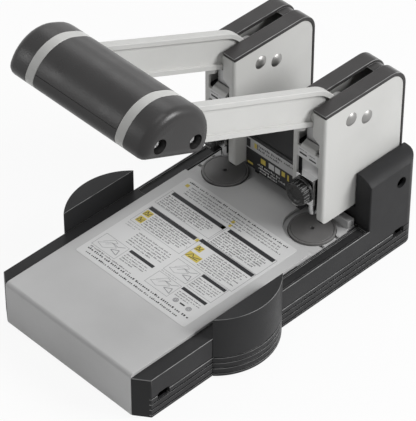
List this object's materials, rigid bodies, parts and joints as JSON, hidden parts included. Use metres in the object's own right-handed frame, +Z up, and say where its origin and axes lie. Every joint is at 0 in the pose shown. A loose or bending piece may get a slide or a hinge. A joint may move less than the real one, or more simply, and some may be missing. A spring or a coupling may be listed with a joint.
{
  "type": "heavy duty hole punch",
  "caption": "Heavy duty desk hole punch with a wide lever on side arms, steel towers, hollow blades, replaceable discs and draw-out paper guides.",
  "frame": {"origin": "on the table under the middle of the body", "axes": "+X to the right, +Y to the back, +Z up; the user stands at -Y"},
  "size_m": [0.163, 0.246, 0.2222],
  "materials": {
    "black_plastic": "fine moulded grain, satin",
    "grip_plastic": "smooth satin grip",
    "grey_plastic": "smooth satin",
    "silver_paint": "fine silver paint, satin",
    "pale_paint": "fine pale silver paint, satin",
    "zinc_steel": "zinc plated",
    "bright_steel": "bright nickel",
    "bronze": "sintered bronze",
    "rubber": "matt rubber",
    "pale_sheet": "printed film"
  },
  "bodies": {
    "base": {"base_housing": "black_plastic", "base_plate": "zinc_steel", "rubber_feet": "rubber", "base_screws": "bright_steel", "base_frame": "zinc_steel", "die_anvils": "zinc_steel", "die_bed": "zinc_steel", "cover_plate": "silver_paint", "deck_label": "pale_sheet", "rear_housing": "black_plastic", "front_panel": "black_plastic", "gauge_strip": "pale_sheet", "paper_stop": "black_plastic", "tower_bracket_left": "silver_paint", "tower_bracket_right": "silver_paint", "tower_cap_left": "black_plastic", "tower_cap_right": "black_plastic", "lever_pivot_left": "bright_steel", "lever_pivot_right": "bright_steel", "stop_pin_left": "bright_steel", "stop_pin_right": "bright_steel", "pivot_spacers": "zinc_steel", "tower_bolts": "bright_steel", "guide_block_left": "black_plastic", "guide_block_right": "black_plastic", "spring_rod_left": "bright_steel", "spring_rod_right": "bright_steel", "return_spring_left": "bright_steel", "return_spring_right": "bright_steel", "ruler_channel": "black_plastic"},
    "lever": {"lever_arm_left": "pale_paint", "lever_arm_right": "pale_paint", "pivot_bush_left": "bronze", "pivot_bush_right": "bronze", "handle_top_shell": "grip_plastic", "handle_bottom_shell": "grip_plastic", "handle_end_cap_left": "grip_plastic", "handle_end_cap_right": "grip_plastic", "handle_tie_rods": "bright_steel", "handle_screws": "bright_steel"},
    "punch_left": {"punch_holder_left": "zinc_steel", "punch_blade_left": "bright_steel", "clevis_pin_left": "bright_steel", "clamp_block_left": "zinc_steel"},
    "knob_left": {"clamp_knob_left": "black_plastic"},
    "disc_left": {"punch_disc_left": "grey_plastic"},
    "guide_left": {"side_guide_left": "black_plastic", "guide_ruler_left": "zinc_steel"},
    "punch_right": {"punch_holder_right": "zinc_steel", "punch_blade_right": "bright_steel", "clevis_pin_right": "bright_steel", "clamp_block_right": "zinc_steel"},
    "knob_right": {"clamp_knob_right": "black_plastic"},
    "disc_right": {"punch_disc_right": "grey_plastic"},
    "guide_right": {"side_guide_right": "black_plastic", "guide_ruler_right": "zinc_steel"},
    "tray": {"chip_tray": "black_plastic"}
  },
  "joints": [
    {"name": "lever_pivot", "type": "hinge", "parent": "base", "child": "lever", "pos_m": [0, 0.0721, 0.1241], "axis": [1, 0, 0], "range_deg": [0, 43.3], "stiffness_Nm_per_rad": 1, "springref_deg": -51.57},
    {"name": "punch_slide_left", "type": "slide", "parent": "base", "child": "punch_left", "axis": [0, 0, -1], "range_m": [0, 0.01399], "deforming": ["return_spring_left"]},
    {"name": "knob_turn_left", "type": "hinge", "parent": "punch_left", "child": "knob_left", "pos_m": [-0.04, 0.0545, 0.074], "axis": [0, -1, 0], "range_deg": [0, 360]},
    {"name": "disc_turn_left", "type": "hinge", "parent": "base", "child": "disc_left", "pos_m": [-0.04, 0.0545, 0.035], "axis": [0, 0, 1], "continuous": true},
    {"name": "guide_slide_left", "type": "slide", "parent": "base", "child": "guide_left", "axis": [-1, 0, 0], "range_m": [0, 0.0805]},
    {"name": "punch_slide_right", "type": "slide", "parent": "base", "child": "punch_right", "axis": [0, 0, -1], "range_m": [0, 0.01399], "deforming": ["return_spring_right"]},
    {"name": "knob_turn_right", "type": "hinge", "parent": "punch_right", "child": "knob_right", "pos_m": [0.04, 0.0545, 0.074], "axis": [0, -1, 0], "range_deg": [0, 360]},
    {"name": "disc_turn_right", "type": "hinge", "parent": "base", "child": "disc_right", "pos_m": [0.04, 0.0545, 0.035], "axis": [0, 0, 1], "continuous": true},
    {"name": "guide_slide_right", "type": "slide", "parent": "base", "child": "guide_right", "axis": [1, 0, 0], "range_m": [0, 0.0805]},
    {"name": "tray_slide", "type": "slide", "parent": "base", "child": "tray", "axis": [0, 1, 0], "range_m": [0, 0.04]}
  ],
  "couplings": [
    {"joint": "punch_slide_left", "follows": "lever_pivot", "m_per_rad": 0.018488},
    {"joint": "punch_slide_right", "follows": "lever_pivot", "m_per_rad": 0.018488}
  ]
}
